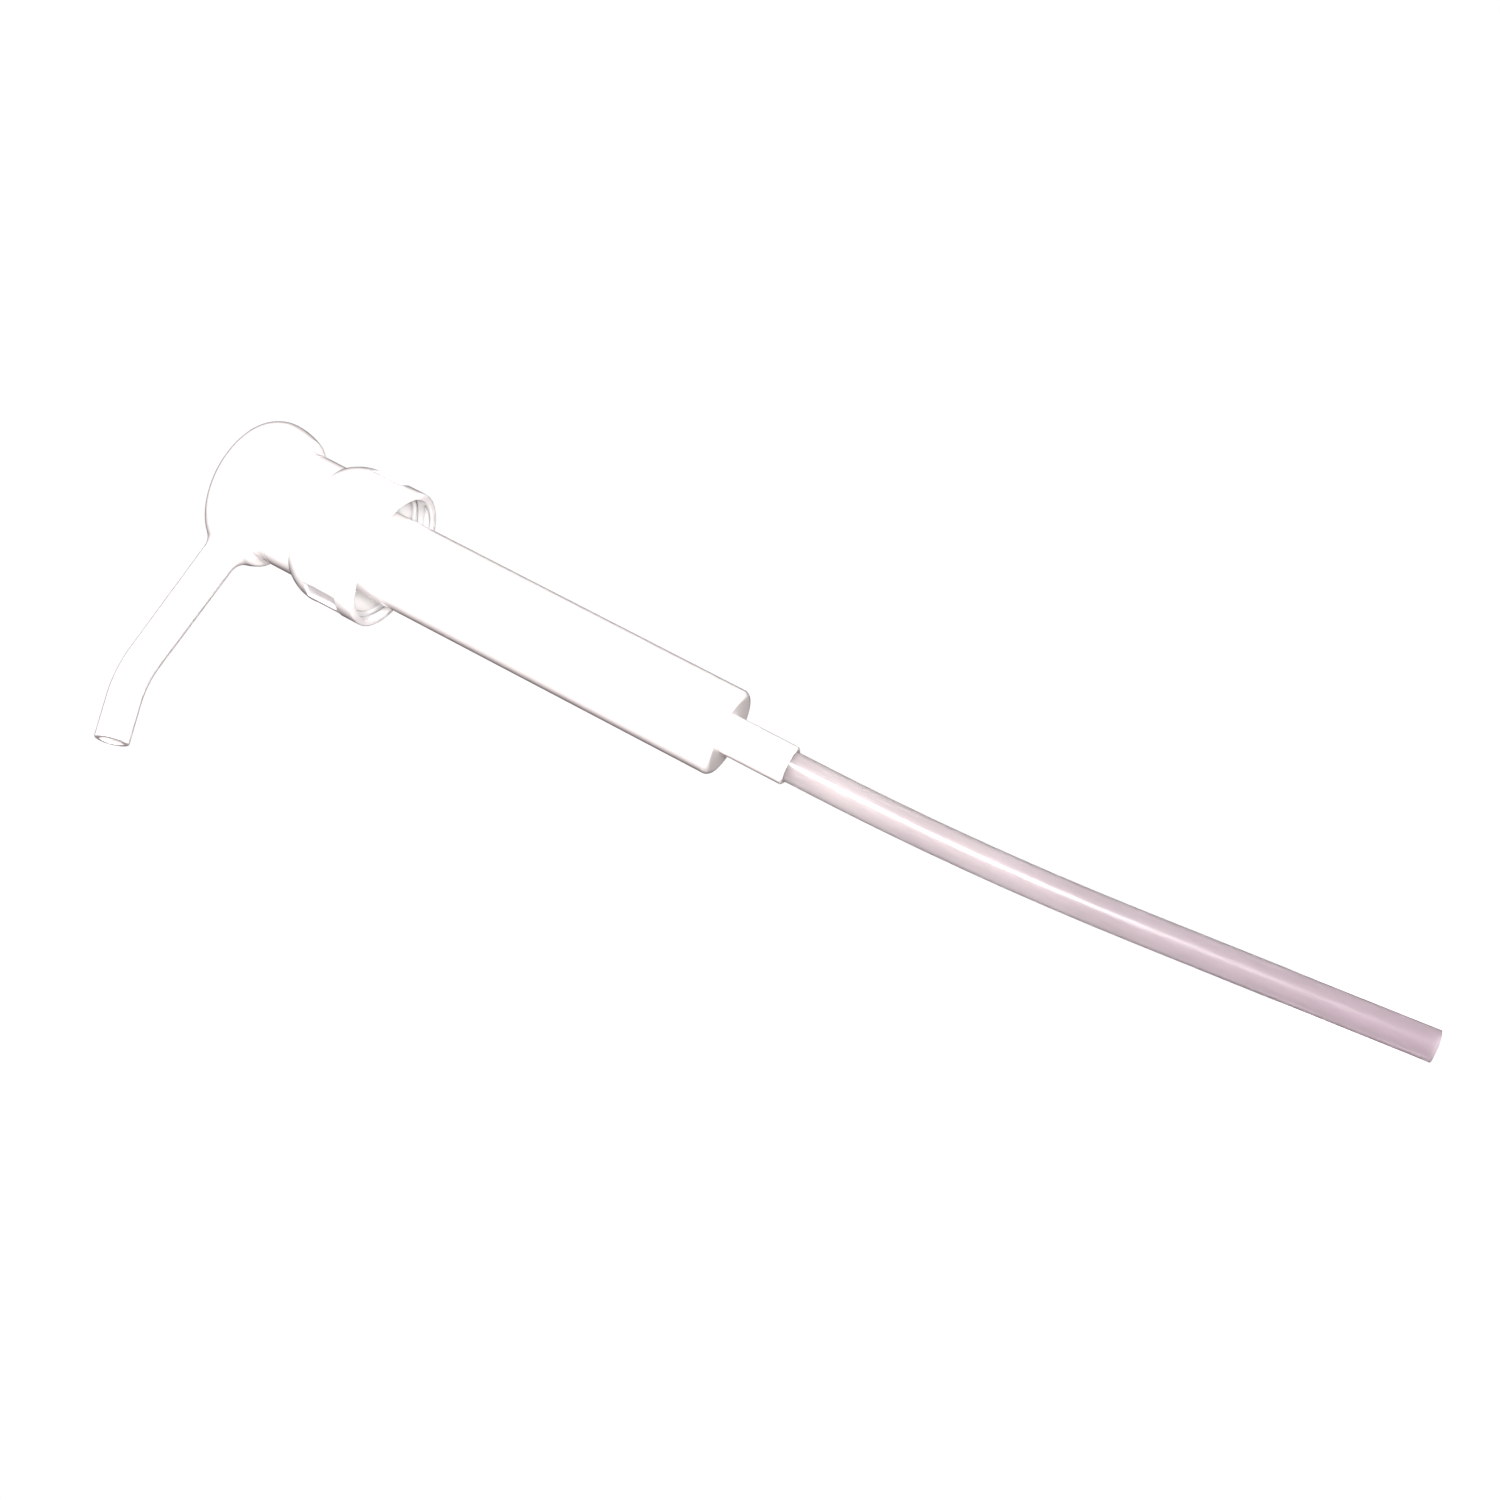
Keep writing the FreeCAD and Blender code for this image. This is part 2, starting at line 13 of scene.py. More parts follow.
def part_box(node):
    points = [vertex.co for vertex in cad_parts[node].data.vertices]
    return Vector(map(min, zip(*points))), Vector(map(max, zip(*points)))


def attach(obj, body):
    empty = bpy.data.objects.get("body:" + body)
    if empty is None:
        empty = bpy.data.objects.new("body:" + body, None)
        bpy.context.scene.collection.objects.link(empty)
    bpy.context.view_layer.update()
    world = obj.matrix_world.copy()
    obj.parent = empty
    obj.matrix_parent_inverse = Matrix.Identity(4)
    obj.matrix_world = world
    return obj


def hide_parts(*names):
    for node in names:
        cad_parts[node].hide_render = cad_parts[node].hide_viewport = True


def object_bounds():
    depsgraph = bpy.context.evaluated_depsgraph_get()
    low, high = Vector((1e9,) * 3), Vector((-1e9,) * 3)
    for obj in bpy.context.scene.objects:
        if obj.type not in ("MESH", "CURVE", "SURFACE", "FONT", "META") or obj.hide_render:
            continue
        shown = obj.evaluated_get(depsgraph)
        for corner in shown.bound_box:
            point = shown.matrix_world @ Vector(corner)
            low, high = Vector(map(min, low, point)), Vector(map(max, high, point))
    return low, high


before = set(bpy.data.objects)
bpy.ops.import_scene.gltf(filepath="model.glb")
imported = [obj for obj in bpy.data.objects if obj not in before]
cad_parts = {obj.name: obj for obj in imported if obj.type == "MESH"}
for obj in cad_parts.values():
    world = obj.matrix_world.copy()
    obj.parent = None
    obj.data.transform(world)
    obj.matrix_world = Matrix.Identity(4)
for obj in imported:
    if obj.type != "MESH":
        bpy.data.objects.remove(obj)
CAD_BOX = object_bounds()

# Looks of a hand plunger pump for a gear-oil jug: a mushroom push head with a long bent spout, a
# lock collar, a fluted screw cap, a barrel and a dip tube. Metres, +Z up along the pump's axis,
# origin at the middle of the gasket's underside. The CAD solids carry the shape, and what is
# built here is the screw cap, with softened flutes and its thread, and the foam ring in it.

log = logging.getLogger("hand_pump")

MM = 0.001
FULL_TURN = 360.0
AXIS = Vector((0, 0, 1))
CREASE = math.radians(38)

Colour: TypeAlias = tuple[float, float, float]
Point: TypeAlias = tuple[float, float]
Place: TypeAlias = tuple[float, float, float]
Value: TypeAlias = "float | Signal"


class Body(Enum):
    """The CAD bodies that the pieces built here ride on."""

    PUMP = "pump_body"
    CAP = "cap"


class Slot(Enum):
    """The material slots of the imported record."""

    HEAD = "head_plastic"
    CAP = "cap_plastic"
    BARREL = "barrel_plastic"
    TUBE = "tube_plastic"
    SEAL = "seal_plastic"
    FOAM = "gasket_foam"
    STEEL = "steel"


@dataclass(frozen=True)
class Pattern:
    """Soft noise laid over a piece: its cells to a metre, its finer layers and their strength."""

    per_metre: float
    detail: float = 2.0
    rough: float = 0.5
    stretch: Place = (1, 1, 1)


class Signal:
    """A number that travels through shader nodes, and adds a Math node for each operation on it."""

    def __init__(self, tree: "ShaderTree", socket: bpy.types.NodeSocket) -> None:
        """Wraps a socket.

        Args:
            tree: The node tree that the socket belongs to.
            socket: The output socket that gives the number.
        """
        self.tree = tree
        self.socket = socket

    def _maths(self, operation: str, first: Value, second: Value, clamp: bool = False) -> "Signal":
        """Adds one Math node.

        Args:
            operation: The Math node's operation.
            first: Its first number.
            second: Its second number.
            clamp: Whether the result is kept between 0 and 1.

        Returns:
            The node's result.
        """
        settings = {"operation": operation, "use_clamp": clamp}
        return self.tree.add("ShaderNodeMath", settings, {0: first, 1: second}).signal()

    def __add__(self, other: Value) -> "Signal":
        """Adds a number."""
        return self._maths("ADD", self, other)

    def __radd__(self, other: Value) -> "Signal":
        """Adds to a number."""
        return self._maths("ADD", other, self)

    def __sub__(self, other: Value) -> "Signal":
        """Takes a number away."""
        return self._maths("SUBTRACT", self, other)

    def __rsub__(self, other: Value) -> "Signal":
        """Takes this away from a number."""
        return self._maths("SUBTRACT", other, self)

    def __mul__(self, other: Value) -> "Signal":
        """Multiplies by a number."""
        return self._maths("MULTIPLY", self, other)

    def __rmul__(self, other: Value) -> "Signal":
        """Multiplies a number."""
        return self._maths("MULTIPLY", other, self)

    def kept(self) -> "Signal":
        """The number kept between 0 and 1."""
        return self._maths("ADD", self, 0.0, clamp=True)

    def ramp(self, low: float, high: float) -> "Signal":
        """Rises smoothly from 0 at low to 1 at high, whichever of the two is greater."""
        settings = {"interpolation_type": "SMOOTHSTEP"}
        inputs = {"Value": self, "From Min": low, "From Max": high}
        return self.tree.add("ShaderNodeMapRange", settings, inputs).signal()


class Placed:
    """A node in a tree, and its outputs."""

    def __init__(self, tree: "ShaderTree", node: bpy.types.Node) -> None:
        """Keeps the node and the tree it is in."""
        self.tree = tree
        self.node = node

    def out(self, name: str | int = 0) -> bpy.types.NodeSocket:
        """The output socket of that name, identifier or number."""
        return find_socket(self.node.outputs, name)

    def signal(self, name: str | int = 0) -> Signal:
        """The output of that name or number, ready for expressions."""
        return Signal(self.tree, self.out(name))


def find_socket(sockets: Sequence[bpy.types.NodeSocket], name: str | int) -> bpy.types.NodeSocket:
    """Finds a socket by number, by identifier or by name.

    Args:
        sockets: A node's inputs or outputs.
        name: The socket's number, identifier or name.

    Returns:
        The socket.
    """
    if isinstance(name, int):
        return sockets[name]
    exact = [s for s in sockets if s.identifier == name]
    return (exact or [s for s in sockets if s.name == name and s.enabled])[0]


class ShaderTree:
    """The node tree of a material or of the world."""

    def __init__(self, owner: "bpy.types.Material | bpy.types.World") -> None:
        """Empties the owner's node tree."""
        owner.use_nodes = True
        self.tree = owner.node_tree
        self.tree.nodes.clear()

    def add(self, kind: str, settings: dict[str, object] | None = None,
            inputs: "dict[str | int, object] | None" = None) -> Placed:
        """Adds a node.

        Args:
            kind: The node's type.
            settings: What is set on the node before its sockets, such as its operation.
            inputs: The value or the link for each socket, by name, identifier or number.

        Returns:
            The node.
        """
        node = self.tree.nodes.new(kind)
        for name, value in (settings or {}).items():
            setattr(node, name, value)
        for name, value in (inputs or {}).items():
            socket = find_socket(node.inputs, name)
            if isinstance(value, Signal):
                self.tree.links.new(value.socket, socket)
            elif isinstance(value, bpy.types.NodeSocket):
                self.tree.links.new(value, socket)
            else:
                socket.default_value = value
        return Placed(self, node)

    def place(self) -> bpy.types.NodeSocket:
        """Where a point is on the object, in the object's own metres."""
        return self.add("ShaderNodeTexCoord").out("Object")

    def height(self) -> Signal:
        """How far up the pump's axis a point is, in metres."""
        return self.add("ShaderNodeSeparateXYZ", inputs={0: self.place()}).signal("Z")

    def noise(self, pattern: Pattern) -> Signal:
        """Lays a pattern over the piece.

        Args:
            pattern: The pattern.

        Returns:
            A number round 0.5.
        """
        spot = self.add("ShaderNodeMapping", inputs={
            "Vector": self.place(), "Scale": pattern.stretch})
        return self.add("ShaderNodeTexNoise", inputs={
            "Vector": spot.out(), "Scale": pattern.per_metre, "Detail": pattern.detail,
            "Roughness": pattern.rough,
        }).signal()

    def corner(self) -> Signal:
        """Is above 0.5 on outward edges, and below it in hollows."""
        return self.add("ShaderNodeNewGeometry").signal("Pointiness")

    def mix(self, share: Value, first: "Colour | bpy.types.NodeSocket",
            second: "Colour | bpy.types.NodeSocket") -> bpy.types.NodeSocket:
        """Mixes two colours.

        Args:
            share: How much of the second there is.
            first: A colour, or a link to one.
            second: A colour, or a link to one.

        Returns:
            The mixed colour.
        """
        ready = [(*c, 1) if isinstance(c, tuple) else c for c in (first, second)]
        return self.add("ShaderNodeMix", {"data_type": "RGBA"}, {
            "Factor_Float": share, "A_Color": ready[0], "B_Color": ready[1],
        }).out("Result_Color")

    def bump(self, height: Signal) -> bpy.types.NodeSocket:
        """Turns a height in metres into a bent normal."""
        return self.add("ShaderNodeBump", inputs={
            "Height": height, "Distance": 1.0, "Strength": 1.0}).out()

    def finish(self, shader: bpy.types.NodeSocket) -> None:
        """Ends the tree with the material's output."""
        self.add("ShaderNodeOutputMaterial", inputs={"Surface": shader})


def new_material(name: str) -> tuple[bpy.types.Material, ShaderTree]:
    """Makes an empty material and its tree."""
    material = bpy.data.materials.new(name)
    return material, ShaderTree(material)


@dataclass(frozen=True)
class MouldedPlastic:
    """White moulded polypropylene: a soft gloss, a faint ripple and light scuffs from handling."""

    name: str
    white: Colour
    shade: Colour
    gloss: float = 0.16
    coat: float = 0.9
    coat_gloss: float = 0.12
    inside_glow: float = 0.1
    glow_reach: Place = (4.0 * MM, 3.8 * MM, 3.7 * MM)
    refraction: float = 1.52
    worn_white: Colour = (0.97, 0.965, 0.96)
    scuffs: float = 0.35
    scuff_depth: float = 0.006 * MM
    ripple: float = 0.02 * MM
    cloud_ripple: float = 0.25
    grain: float = 0.004 * MM
    flow_pattern: Pattern = Pattern(38, 3.0, 0.55, (1, 1, 0.45))
    cloud_pattern: Pattern = Pattern(120)
    grain_pattern: Pattern = Pattern(2600, 2.0, 0.6)
    scratch_pattern: Pattern = Pattern(520, 4.0, 0.7, (1, 1, 0.08))
    worn_corners: Point = (0.52, 0.62)
    scuff_lines: Point = (0.60, 0.74)
    scuff_patches: Point = (0.42, 0.62)
    flow_tint: Point = (0.35, 0.7)
    flow_share: float = 0.55
    cloud_tint: Point = (0.4, 0.75)
    cloud_share: float = 0.25
    worn_share: float = 0.5
    scuff_share: float = 0.4
    cloud_dulls: float = 0.08
    scuff_dulls: float = 0.3
    worn_dulls: float = 0.06

    def material(self) -> bpy.types.Material:
        """Builds the finish.

        Returns:
            The material.
        """
        material, tree = new_material(self.name)
        flow = tree.noise(self.flow_pattern)
        cloud = tree.noise(self.cloud_pattern)
        grain = tree.noise(self.grain_pattern)
        scratch = tree.noise(self.scratch_pattern)
        worn = tree.corner().ramp(*self.worn_corners)
        scuffed = scratch.ramp(*self.scuff_lines) * flow.ramp(*self.scuff_patches) * self.scuffs
        shaded = (flow.ramp(*self.flow_tint) * self.flow_share
                  + cloud.ramp(*self.cloud_tint) * self.cloud_share).kept()
        rubbed = (worn * self.worn_share + scuffed * self.scuff_share).kept()
        dull = cloud * self.cloud_dulls + scuffed * self.scuff_dulls + worn * self.worn_dulls
        height = (flow * self.ripple + cloud * (self.ripple * self.cloud_ripple)
                  + grain * self.grain - scuffed * self.scuff_depth)
        base = tree.mix(shaded, self.white, self.shade)
        shader = tree.add("ShaderNodeBsdfPrincipled", inputs={
            "Base Color": tree.mix(rubbed, base, self.worn_white),
            "Roughness": (self.gloss + dull).kept(),
            "IOR": self.refraction,
            "Coat Weight": self.coat,
            "Coat Roughness": self.coat_gloss,
            "Subsurface Weight": self.inside_glow,
            "Subsurface Radius": self.glow_reach,
            "Subsurface Scale": 1.0,
            "Normal": tree.bump(height),
        })
        tree.finish(shader.out())
        return material


@dataclass(frozen=True)
class DrawnTube:
    """Translucent extruded polyethylene: faint draw lines along it, and painted shade that darkens
    it towards its lower end.
    """

    name: str
    # The first two colours and heights paint shade along the tube: the lighter colour where it is
    # lit, the darker one towards its lower end, where the light falls off.
    painted_lit_colour: Colour
    painted_shade_colour: Colour
    painted_lit_from: float
    painted_shade_from: float
    clear: float = 0.85
    gloss: float = 0.22
    coat: float = 0.3
    coat_gloss: float = 0.1
    refraction: float = 1.5
    line_pattern: Pattern = Pattern(900, 3.0, 0.6, (1, 1, 0.01))
    cloud_pattern: Pattern = Pattern(60, 3.0, 0.6, (1, 1, 0.5))
    line_tint: Point = (0.4, 0.8)
    line_share: float = 0.12
    cloud_tint: Point = (0.35, 0.75)
    cloud_share: float = 0.35
    stain_depth: float = 0.88
    line_dulls: float = 0.10
    cloud_dulls: float = 0.06
    line_height: float = 0.012 * MM
    cloud_height: float = 0.03 * MM

    def material(self) -> bpy.types.Material:
        """Builds the finish.

        Returns:
            The material.
        """
        material, tree = new_material(self.name)
        lines = tree.noise(self.line_pattern)
        cloud = tree.noise(self.cloud_pattern)
        # Painted shade: the colour darkens with height, from the lit upper part to the tube's lower
        # end.
        painted_lit_share = tree.height().ramp(self.painted_shade_from, self.painted_lit_from)
        stain = tuple(self.stain_depth * c for c in self.painted_shade_colour)
        stained = (cloud.ramp(*self.cloud_tint) * self.cloud_share
                   + lines.ramp(*self.line_tint) * self.line_share).kept()
        base = tree.mix(1 - painted_lit_share, self.painted_lit_colour, self.painted_shade_colour)
        shader = tree.add("ShaderNodeBsdfPrincipled", inputs={
            "Base Color": tree.mix(stained, base, stain),
            "Roughness": (self.gloss + lines * self.line_dulls + cloud * self.cloud_dulls).kept(),
            "IOR": self.refraction,
            "Transmission Weight": self.clear,
            "Coat Weight": self.coat,
            "Coat Roughness": self.coat_gloss,
            "Normal": tree.bump(lines * self.line_height + cloud * self.cloud_height),
        })
        tree.finish(shader.out())
        return material


@dataclass(frozen=True)
class SoftSeal:
    """Soft natural polyethylene or closed-cell foam, with its pores."""

    name: str
    colour: Colour
    pores: float
    pore_depth: float
    gloss: float
    refraction: float = 1.45
    cloud_pattern: Pattern = Pattern(180, 3.0, 0.6)
    cloud_tint: Point = (0.35, 0.7)
    cloud_share: float = 0.6
    cloud_depth: float = 0.9
    cloud_dulls: float = 0.15

    def material(self) -> bpy.types.Material:
        """Builds the finish.

        Returns:
            The material.
        """
        material, tree = new_material(self.name)
        cells = tree.add("ShaderNodeTexVoronoi", inputs={
            "Vector": tree.place(), "Scale": self.pores}).signal("Distance")
        cloud = tree.noise(self.cloud_pattern)
        darker = tuple(self.cloud_depth * c for c in self.colour)
        clouded = cloud.ramp(*self.cloud_tint) * self.cloud_share
        shader = tree.add("ShaderNodeBsdfPrincipled", inputs={
            "Base Color": tree.mix(clouded, self.colour, darker),
            "Roughness": (self.gloss + cloud * self.cloud_dulls).kept(),
            "IOR": self.refraction,
            "Normal": tree.bump(cells * self.pore_depth),
        })
        tree.finish(shader.out())
        return material


@dataclass(frozen=True)
class DrawnSteel:
    """Stainless steel, drawn or ground, with fine lines round the pump's axis."""

    name: str
    colour: Colour
    gloss: float
    line_pattern: Pattern
    cloud_pattern: Pattern = Pattern(300)
    cloud_tint: Point = (0.4, 0.7)
    cloud_share: float = 0.5
    cloud_depth: float = 0.8
    line_dulls: float = 0.15
    line_height: float = 0.004 * MM

    def material(self) -> bpy.types.Material:
        """Builds the finish.

        Returns:
            The material.
        """
        material, tree = new_material(self.name)
        lines = tree.noise(self.line_pattern)
        cloud = tree.noise(self.cloud_pattern)
        darker = tuple(self.cloud_depth * c for c in self.colour)
        clouded = cloud.ramp(*self.cloud_tint) * self.cloud_share
        shader = tree.add("ShaderNodeBsdfPrincipled", inputs={
            "Base Color": tree.mix(clouded, self.colour, darker),
            "Metallic": 1.0,
            "Roughness": (self.gloss + lines * self.line_dulls).kept(),
            "Normal": tree.bump(lines * self.line_height),
        })
        tree.finish(shader.out())
        return material


HEAD_WHITE = MouldedPlastic("head_white", (0.93, 0.915, 0.91), (0.90, 0.875, 0.87))
COLLAR_WHITE = MouldedPlastic("collar_white", (0.93, 0.915, 0.91), (0.89, 0.865, 0.86), gloss=0.14)
CAP_WHITE = MouldedPlastic("cap_white", (0.93, 0.915, 0.91), (0.89, 0.865, 0.86),
                           gloss=0.15, inside_glow=0.9)
BARREL_WHITE = MouldedPlastic("barrel_white", (0.925, 0.91, 0.905), (0.885, 0.86, 0.855),
                              gloss=0.18)
INNER_WHITE = MouldedPlastic("inner_white", (0.90, 0.885, 0.87), (0.85, 0.83, 0.81),
                             gloss=0.34, coat=0.0)
# The tube's two colours and heights paint shade that darkens it towards its lower end.
TUBE_LILAC = DrawnTube("tube_lilac", (0.87, 0.805, 0.815), (0.66, 0.575, 0.625),
                       painted_lit_from=-0.15, painted_shade_from=-0.32)
SEAL_SOFT = SoftSeal("seal_soft", (0.86, 0.85, 0.82), pores=900, pore_depth=0.01 * MM, gloss=0.42)
FOAM_WHITE = SoftSeal("foam_white", (0.84, 0.84, 0.83), pores=1800, pore_depth=0.12 * MM, gloss=0.7)
WIRE_STEEL = DrawnSteel("wire_steel", (0.62, 0.62, 0.64), 0.16, Pattern(1400, 3.0, 0.6, (1, 1, 6)))
BALL_STEEL = DrawnSteel("ball_steel", (0.70, 0.70, 0.72), 0.07, Pattern(500, 3.0, 0.6, (1, 1, 6)))


def smooth_shading(shape: bmesh.types.BMesh) -> None:
    """Shades a shape smooth, but for edges that turn by more than a crease does."""
    for face in shape.faces:
        face.smooth = True
    for edge in shape.edges:
        edge.smooth = len(edge.link_faces) == 2 and edge.calc_face_angle(0.0) < CREASE


def new_piece(name: str, shape: bmesh.types.BMesh, finish: bpy.types.Material, body: Body,
              stands_for: str) -> None:
    """Turns a shape into a piece that stands for a CAD node and rides on its body.

    Args:
        name: The piece's name.
        shape: Its shape, which is freed.
        finish: Its finish.
        body: The CAD body it moves with.
        stands_for: The CAD node that it replaces.
    """
    bmesh.ops.recalc_face_normals(shape, faces=shape.faces)
    smooth_shading(shape)
    mesh = bpy.data.meshes.new(name)
    shape.to_mesh(mesh)
    shape.free()
    mesh.materials.append(finish)
    piece = bpy.data.objects.new(name, mesh)
    bpy.context.scene.collection.objects.link(piece)
    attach(piece, body.value)
    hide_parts(stands_for)
    log.info("built %s with %d faces for %s", name, len(mesh.polygons), stands_for)


def eased(share: float) -> float:
    """A share kept between 0 and 1, that leaves both ends gently."""
    kept = min(max(share, 0.0), 1.0)
    return kept * kept * (3 - 2 * kept)


def ring_point(radius: float, turn: float, height: float) -> Place:
    """The place at a radius, an angle in degrees and a height, from millimetres to metres."""
    angle = math.radians(turn)
    return radius * math.cos(angle) * MM, radius * math.sin(angle) * MM, height * MM


def arc(centre: Point, radius: float, start: float, stop: float, steps: int) -> list[Point]:
    """Points along an arc of a section.

    Args:
        centre: The arc's centre, as a radius and a height.
        radius: The arc's radius.
        start: The angle of its first point, in degrees from outwards.
        stop: The angle of its last point.
        steps: How many steps it takes.

    Returns:
        The points, each a radius and a height.
    """
    turns = [math.radians(start + (stop - start) * i / steps) for i in range(steps + 1)]
    return [(centre[0] + radius * math.cos(t), centre[1] + radius * math.sin(t)) for t in turns]


def skin(shape: bmesh.types.BMesh, rows: Sequence[Sequence[Place]]) -> None:
    """Joins rows of points into a closed skin: each row is a ring, and the last meets the first.

    Args:
        shape: Where the skin is made.
        rows: The rows, all with the same number of points.
    """
    made = [[shape.verts.new(point) for point in row] for row in rows]
    for i, row in enumerate(made):
        after = made[(i + 1) % len(made)]
        for j, corner in enumerate(row):
            k = (j + 1) % len(row)
            shape.faces.new((corner, row[k], after[k], after[j]))


@dataclass
class CarriedNodes:
    """A sub-assembly whose CAD nodes have the right shape and only take a finish."""

    nodes: tuple[str, ...]
    finish: "MouldedPlastic | DrawnTube | SoftSeal | DrawnSteel"
    slot: Slot

    def dress(self) -> None:
        """Gives the nodes their finish."""
        material = self.finish.material()
        for name in self.nodes:
            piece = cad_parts[name]
            piece.data.materials.clear()
            piece.data.materials.append(material)
            log.info("dressed %s in %s", name, material.name)


@dataclass
class PushHead(CarriedNodes):
    """The mushroom head with its spout, one moulding."""

    nodes: tuple[str, ...] = ("pump_head",)
    finish: MouldedPlastic = HEAD_WHITE
    slot: Slot = Slot.HEAD


@dataclass
class LockCollar(CarriedNodes):
    """The ring that guides the stem and locks the head down."""

    nodes: tuple[str, ...] = ("lock_collar",)
    finish: MouldedPlastic = COLLAR_WHITE
    slot: Slot = Slot.CAP


@dataclass
class Barrel(CarriedNodes):
    """The pump's cylinder and its nozzle."""

    nodes: tuple[str, ...] = ("barrel",)
    finish: MouldedPlastic = BARREL_WHITE
    slot: Slot = Slot.BARREL


@dataclass
class DipTube(CarriedNodes):
    """The tube down to the bottom of the jug."""

    nodes: tuple[str, ...] = ("dip_tube",)
    finish: DrawnTube = TUBE_LILAC
    slot: Slot = Slot.TUBE


@dataclass
class PlungerRod(CarriedNodes):
    """The hollow stem, the valve body in its lower end, the spring's washer and the ball's cage."""

    nodes: tuple[str, ...] = ("stem", "piston_holder", "spring_seat", "inlet_ball_cage")
    finish: MouldedPlastic = INNER_WHITE
    slot: Slot = Slot.BARREL


@dataclass
class Seals(CarriedNodes):
    """The piston's lips and the seal round the stem."""

    nodes: tuple[str, ...] = ("piston_cup", "stem_wiper")
    finish: SoftSeal = SEAL_SOFT
    slot: Slot = Slot.SEAL


@dataclass
class ReturnSpring(CarriedNodes):
    """The coil spring under the piston."""

    nodes: tuple[str, ...] = ("spring",)
    finish: DrawnSteel = WIRE_STEEL
    slot: Slot = Slot.STEEL


@dataclass
class CheckBalls(CarriedNodes):
    """The two steel check balls."""

    nodes: tuple[str, ...] = ("inlet_ball", "outlet_ball")
    finish: DrawnSteel = BALL_STEEL
    slot: Slot = Slot.STEEL


@dataclass
class ScrewCap:
    """The fluted screw cap with its domed shoulder and the thread inside.

    Sizes are in millimetres, angles in degrees, and heights from the gasket's underside.
    """

    rim: float = -11.5
    rim_round: float = 0.6
    rim_inner_round: float = 0.3
    crown: float = 12.35
    band: float = 21.15
    bore: float = 19.05
    bore_round: float = 0.3
    ledge: float = 5.5
    ledge_bevel: float = 0.15
    hole: float = 17.85
    hole_round: float = 0.2
    hole_row: float = 8.5
    bore_rows: tuple[float, ...] = (1.5, -5.5, -8.5)
    band_rows: tuple[float, ...] = (-8.0, -6.0, -5.7, -5.5, -5.3, -5.05, -4.8, -4.6, -4.4, -4.1,
                                    -3.5, -2.0, 0.0, 2.0, 3.2, 4.0)
    shoulder: Point = (7.85, 4.12)
    shoulder_radius: float = 13.3
    shoulder_foot: float = 4.15
    foot_shares: tuple[float, ...] = (0, .004, .008, .011, .014, .017, .02, .024, .03, .045)
    dome_from: float = 0.07
    dome_steps: int = 18
    flutes: int = 15
    flute_floor: float = 20.3
    flute_low: float = -5.45
    flute_high: float = 4.65
    flute_high_soft: float = 0.3
    flute_half: float = 9.0
    flute_side_soft: float = 0.9
    flute_columns: tuple[float, ...] = (0, 2.5, 5, 7, 8.2, 8.6, 8.8, 9.0, 9.2, 9.45, 9.8, 10.8)
    thread_low: float = -9.8
    thread_pitch: float = 4.2333
    thread_turns: float = 1.3
    thread_crest: float = 17.85
    thread_root: float = 19.2
    thread_wide: float = 1.05
    thread_narrow: float = 0.45
    thread_bevel: Point = (0.12, 0.06)
    thread_fade: float = 24.0
    thread_end: float = 0.03
    thread_steps: int = 150
    finish: MouldedPlastic = CAP_WHITE

    def shoulder_turn(self, height: float) -> float:
        """The angle from outwards at which the shoulder reaches a height."""
        return math.degrees(math.asin((height - self.shoulder[1]) / self.shoulder_radius))

    def on_shoulder(self, turn: float) -> Point:
        """The shoulder's point at an angle from outwards."""
        return arc(self.shoulder, self.shoulder_radius, turn, turn, 1)[0]

    def outside(self) -> list[Point]:
        """The section from the rim's outer edge, up the band and over the shoulder to the lip.

        Returns:
            The points, closest together where the flutes begin and end.
        """
        r = self.rim_round
        edge = arc((self.band - r, self.rim + r), r, -90, 0, 5)
        band = [(self.band, height) for height in self.band_rows]
        foot = self.shoulder_turn(self.shoulder_foot)
        climb = self.shoulder_turn(self.crown) - foot
        dome = [self.dome_from + (1 - self.dome_from) * i / self.dome_steps
                for i in range(self.dome_steps + 1)]
        shares = (*self.foot_shares, *dome)
        return edge + band + [self.on_shoulder(foot + climb * share) for share in shares]

    def inside(self) -> list[Point]:
        """The section from the lip, down through the hole and the bore, back to the rim.

        Returns:
            The points.
        """
        r, b, m = self.hole_round, self.bore_round, self.rim_inner_round
        edge = arc((self.hole + r, self.crown - r), r, 90, 180, 4)
        step = [(self.hole, self.hole_row), (self.hole, self.ledge + self.ledge_bevel),
                (self.hole + self.ledge_bevel, self.ledge), (self.bore - b, self.ledge)]
        corner = arc((self.bore - b, self.ledge - b), b, 90, 0, 4)[1:]
        wall = [(self.bore, height) for height in self.bore_rows]
        return edge + step + corner + wall + arc((self.bore + m, self.rim + m), m, 180, 270, 4)

    def flute_depth_share(self, turn: float, height: float) -> float:
        """How deep into a flute a place on the band is, from 0 on the rib to 1 on its floor.

        Args:
            turn: The place's angle from the flute's middle.
            height: Its height.

        Returns:
            The share. The flute's lower end slopes by 45 degrees, and its other sides are soft.
        """
        side, top = self.flute_side_soft, self.flute_high_soft
        across = eased((self.flute_half + side / 2 - abs(turn)) / side)
        high = eased((self.flute_high + top / 2 - height) / top)
        low = (height - self.flute_low) / (self.band - self.flute_floor)
        return across * high * min(max(low, 0.0), 1.0)

    def columns(self) -> list[tuple[float, float]]:
        """The skin's columns, each an angle and the angle from its flute's middle."""
        pitch = FULL_TURN / self.flutes
        spread = sorted({-t for t in self.flute_columns} | set(self.flute_columns)) + [pitch / 2]
        return [(i * pitch + t, t) for i in range(self.flutes) for t in spread]

